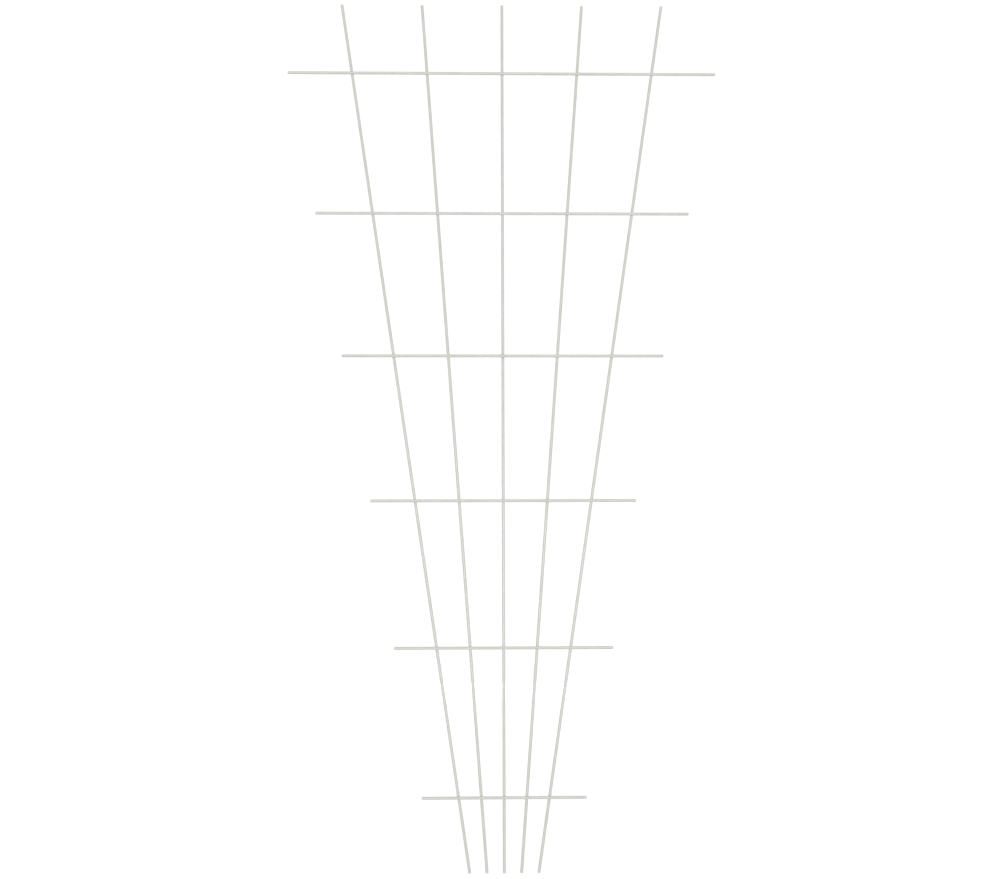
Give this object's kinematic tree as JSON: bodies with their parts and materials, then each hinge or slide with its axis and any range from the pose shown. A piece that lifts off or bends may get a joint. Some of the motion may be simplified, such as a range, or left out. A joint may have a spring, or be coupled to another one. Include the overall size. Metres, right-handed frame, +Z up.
{
  "type": "espalier frame",
  "caption": "Fan-shaped plant support of thin white coated steel rods: uprights that spread from the feet, level crossbars welded across their front.",
  "frame": {"origin": "bottom centre: level with the ends of the feet, on the middle upright's line, in the plane of the welds", "axes": "+Z up along the middle upright, +X to the right along the crossbars, +Y to the back, where the uprights are"},
  "size_m": [0.7506, 0.0102, 1.5],
  "materials": {
    "white_coat": "white powder coat on steel wire, satin",
    "weld_coat": "white powder coat over a weld bead, satin"
  },
  "bodies": {
    "root": {"upright_left_outer": "white_coat", "upright_left_inner": "white_coat", "upright_centre": "white_coat", "upright_right_inner": "white_coat", "upright_right_outer": "white_coat", "crossbar_1": "white_coat", "crossbar_2": "white_coat", "crossbar_3": "white_coat", "crossbar_4": "white_coat", "crossbar_5": "white_coat", "crossbar_6": "white_coat", "weld_bar1_left_outer": "weld_coat", "weld_bar1_left_inner": "weld_coat", "weld_bar1_centre": "weld_coat", "weld_bar1_right_inner": "weld_coat", "weld_bar1_right_outer": "weld_coat", "weld_bar2_left_outer": "weld_coat", "weld_bar2_left_inner": "weld_coat", "weld_bar2_centre": "weld_coat", "weld_bar2_right_inner": "weld_coat", "weld_bar2_right_outer": "weld_coat", "weld_bar3_left_outer": "weld_coat", "weld_bar3_left_inner": "weld_coat", "weld_bar3_centre": "weld_coat", "weld_bar3_right_inner": "weld_coat", "weld_bar3_right_outer": "weld_coat", "weld_bar4_left_outer": "weld_coat", "weld_bar4_left_inner": "weld_coat", "weld_bar4_centre": "weld_coat", "weld_bar4_right_inner": "weld_coat", "weld_bar4_right_outer": "weld_coat", "weld_bar5_left_outer": "weld_coat", "weld_bar5_left_inner": "weld_coat", "weld_bar5_centre": "weld_coat", "weld_bar5_right_inner": "weld_coat", "weld_bar5_right_outer": "weld_coat", "weld_bar6_left_outer": "weld_coat", "weld_bar6_left_inner": "weld_coat", "weld_bar6_centre": "weld_coat", "weld_bar6_right_inner": "weld_coat", "weld_bar6_right_outer": "weld_coat"}
  },
  "joints": []
}
